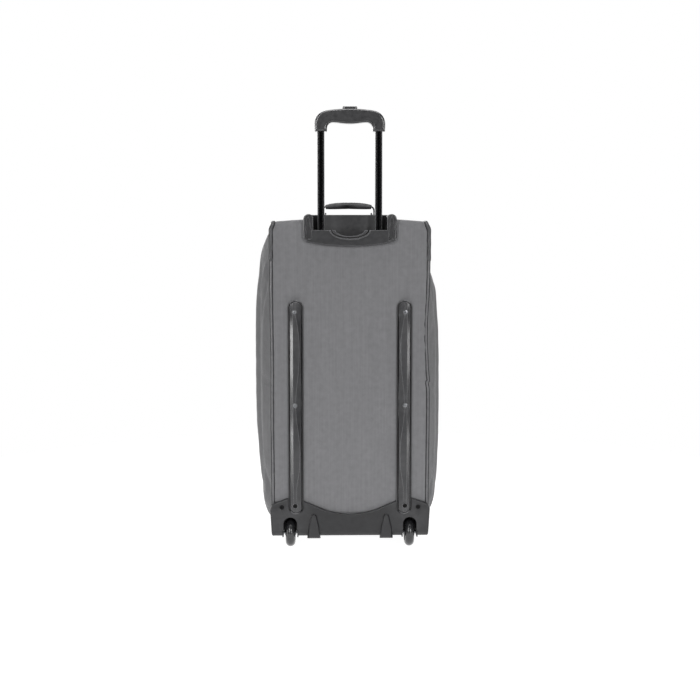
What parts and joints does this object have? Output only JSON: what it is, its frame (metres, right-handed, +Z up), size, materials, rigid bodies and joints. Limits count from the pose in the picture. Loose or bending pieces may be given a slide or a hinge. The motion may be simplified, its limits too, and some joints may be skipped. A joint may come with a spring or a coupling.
{
  "type": "rolling duffel bag",
  "caption": "Soft-sided upright duffel bag on wheels with a telescopic trolley handle, skid rails, zipped front flap and pockets.",
  "frame": {"origin": "on the floor under the middle of the bag's bounding box, standing upright", "axes": "-Y faces the trolley side, +X to the right as that side is looked at, +Z up along the trolley tubes"},
  "size_m": [0.4, 0.3594, 0.92],
  "materials": {
    "fabric": "woven polyester, mid grey",
    "lining": "thin dark lining",
    "piping": "dark piping",
    "leatherette": "grained dark patch",
    "webbing": "dark webbing",
    "moulding": "fine-grained dark grey moulding",
    "grip": "satin dark grey",
    "board": "stiffening sheet",
    "tube_black": "gloss black anodised tube",
    "tube_raw": "mill finish",
    "wheel_rubber": "polyurethane tread",
    "wheel_core": "moulded wheel core",
    "steel": "zinc plated",
    "zip_tape": "zip tape",
    "zip_metal": "dark lacquered slider",
    "tab": "moulded pull tab"
  },
  "bodies": {
    "bag": {"base_housing": "moulding", "wheel_well_left": "moulding", "wheel_well_right": "moulding", "axles": "steel", "rail_left": "moulding", "rail_right": "moulding", "back_screws": "steel", "front_feet": "moulding", "handle_bezel": "moulding", "bezel_screws": "steel", "outer_tube_left": "tube_raw", "outer_tube_right": "tube_raw", "tube_collars": "moulding", "tube_foot_bracket": "moulding", "back_board": "board", "back_panel": "fabric", "top_panel": "fabric", "bottom_panel": "fabric", "front_frame": "fabric", "side_panel_left": "fabric", "side_panel_right": "fabric", "piping_left": "piping", "piping_right": "piping", "corner_guards": "leatherette", "tube_lining": "lining", "carry_handle_anchors": "moulding", "main_zip_tape": "zip_tape"},
    "wheel_left": {"tyre_left": "wheel_rubber", "hub_left": "wheel_core", "bush_left": "wheel_core"},
    "wheel_right": {"tyre_right": "wheel_rubber", "hub_right": "wheel_core", "bush_right": "wheel_core"},
    "trolley": {"inner_tube_left": "tube_black", "inner_tube_right": "tube_black", "grip_rear_shell": "grip", "grip_front_shell": "grip", "grip_screws": "steel", "lock_plugs": "moulding"},
    "button": {"release_button": "grip", "push_rods": "steel", "button_spring": "steel"},
    "pin_left": {"lock_pin_left": "steel"},
    "pin_right": {"lock_pin_right": "steel"},
    "carry_handle": {"carry_handle_grip": "leatherette", "carry_handle_straps": "webbing"},
    "flap": {"main_flap": "fabric", "flap_zip_tape": "zip_tape", "lower_pocket": "fabric", "upper_pocket": "fabric", "pocket_zips": "zip_tape"},
    "zip_main_left": {"slider_main_left": "zip_metal"},
    "pull_main_left": {"puller_main_left": "tab"},
    "zip_main_right": {"slider_main_right": "zip_metal"},
    "pull_main_right": {"puller_main_right": "tab"},
    "zip_lower": {"slider_lower": "zip_metal"},
    "pull_lower": {"puller_lower": "tab"},
    "zip_upper": {"slider_upper": "zip_metal"},
    "pull_upper": {"puller_upper": "tab"}
  },
  "joints": [
    {"name": "wheel_left_spin", "type": "hinge", "parent": "bag", "child": "wheel_left", "pos_m": [-0.1255, -0.148, 0.0295], "axis": [1, 0, 0], "continuous": true},
    {"name": "wheel_right_spin", "type": "hinge", "parent": "bag", "child": "wheel_right", "pos_m": [0.1255, -0.148, 0.0295], "axis": [1, 0, 0], "continuous": true},
    {"name": "trolley_slide", "type": "slide", "parent": "bag", "child": "trolley", "axis": [0, 0, 1], "range_m": [-0.224, 0.12]},
    {"name": "button_press", "type": "slide", "parent": "trolley", "child": "button", "axis": [0, 0, -1], "range_m": [0, 0.004], "stiffness_N_per_m": 1500, "springref_m": -0.002, "deforming": ["button_spring"]},
    {"name": "pin_left_retract", "type": "slide", "parent": "trolley", "child": "pin_left", "axis": [1, 0, 0], "range_m": [0, 0.003]},
    {"name": "pin_right_retract", "type": "slide", "parent": "trolley", "child": "pin_right", "axis": [-1, 0, 0], "range_m": [0, 0.003]},
    {"name": "carry_handle_swing", "type": "hinge", "parent": "bag", "child": "carry_handle", "pos_m": [0, 0, 0.699], "axis": [1, 0, 0], "range_deg": [-60, 60]},
    {"name": "flap_open", "type": "hinge", "parent": "bag", "child": "flap", "pos_m": [0, 0.147, 0.0785], "axis": [-1, 0, 0], "range_deg": [0, 90]},
    {"name": "zip_main_left_run", "type": "slide", "parent": "flap", "child": "zip_main_left", "axis": [-1, 0, 0], "range_m": [0, 0.06]},
    {"name": "pull_main_left_lift", "type": "hinge", "parent": "zip_main_left", "child": "pull_main_left", "pos_m": [-0.012, 0.1545, 0.6405], "axis": [1, 0, 0], "range_deg": [0, 140]},
    {"name": "zip_main_right_run", "type": "slide", "parent": "flap", "child": "zip_main_right", "axis": [1, 0, 0], "range_m": [0, 0.06]},
    {"name": "pull_main_right_lift", "type": "hinge", "parent": "zip_main_right", "child": "pull_main_right", "pos_m": [0.012, 0.1545, 0.6405], "axis": [1, 0, 0], "range_deg": [0, 140]},
    {"name": "zip_lower_run", "type": "slide", "parent": "flap", "child": "zip_lower", "axis": [-1, 0, 0], "range_m": [0, 0.172]},
    {"name": "pull_lower_lift", "type": "hinge", "parent": "zip_lower", "child": "pull_lower", "pos_m": [0.086, 0.1765, 0.328], "axis": [1, 0, 0], "range_deg": [0, 140]},
    {"name": "zip_upper_run", "type": "slide", "parent": "flap", "child": "zip_upper", "axis": [-1, 0, 0], "range_m": [0, 0.144]},
    {"name": "pull_upper_lift", "type": "hinge", "parent": "zip_upper", "child": "pull_upper", "pos_m": [0.072, 0.1725, 0.572], "axis": [1, 0, 0], "range_deg": [0, 140]}
  ],
  "couplings": [
    {"joint": "pin_left_retract", "follows": "button_press", "ratio": 0.75},
    {"joint": "pin_right_retract", "follows": "button_press", "ratio": 0.75}
  ]
}
